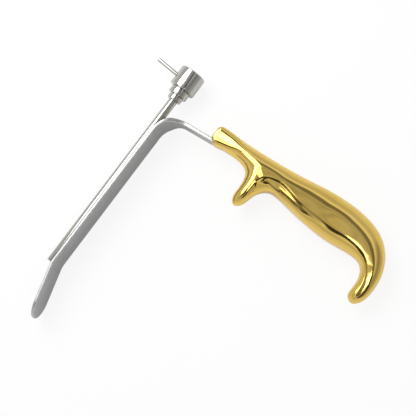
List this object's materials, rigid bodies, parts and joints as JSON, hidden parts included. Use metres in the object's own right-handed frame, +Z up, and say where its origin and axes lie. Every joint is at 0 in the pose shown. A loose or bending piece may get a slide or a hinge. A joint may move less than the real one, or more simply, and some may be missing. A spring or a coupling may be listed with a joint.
{
  "type": "handheld surgical retractor",
  "caption": "Angled flat retractor blade with a soldered fibre-optic light guide, a stepped light-cable adapter with a side pin, and a gold-plated pistol grip with finger guard and hook.",
  "frame": {"origin": "on the surface the retractor lies on, under the middle of its bounding box", "axes": "+Z up, across the blade's width; +X towards the handle's hook, along the longest extent; +Y towards the light-cable adapter"},
  "size_m": [0.2212, 0.169, 0.025],
  "materials": {
    "satin_steel": "fine satin, brushed along the blade",
    "polished_steel": "turned and polished bright",
    "gold_plate": "gold plated over the casting, mirror polished",
    "silver_solder": "smooth solder fillet, polished",
    "fibre_glass": "fibre ends potted and polished flat"
  },
  "bodies": {
    "root": {"blade": "satin_steel", "handle": "gold_plate", "light_tube": "polished_steel", "fibre_bundle": "fibre_glass", "fibre_ferrule": "polished_steel", "tube_collar": "polished_steel", "adapter_body": "polished_steel", "adapter_sleeve": "polished_steel", "side_pin": "polished_steel", "solder_seam_near": "silver_solder", "solder_seam_far": "silver_solder"}
  },
  "joints": []
}
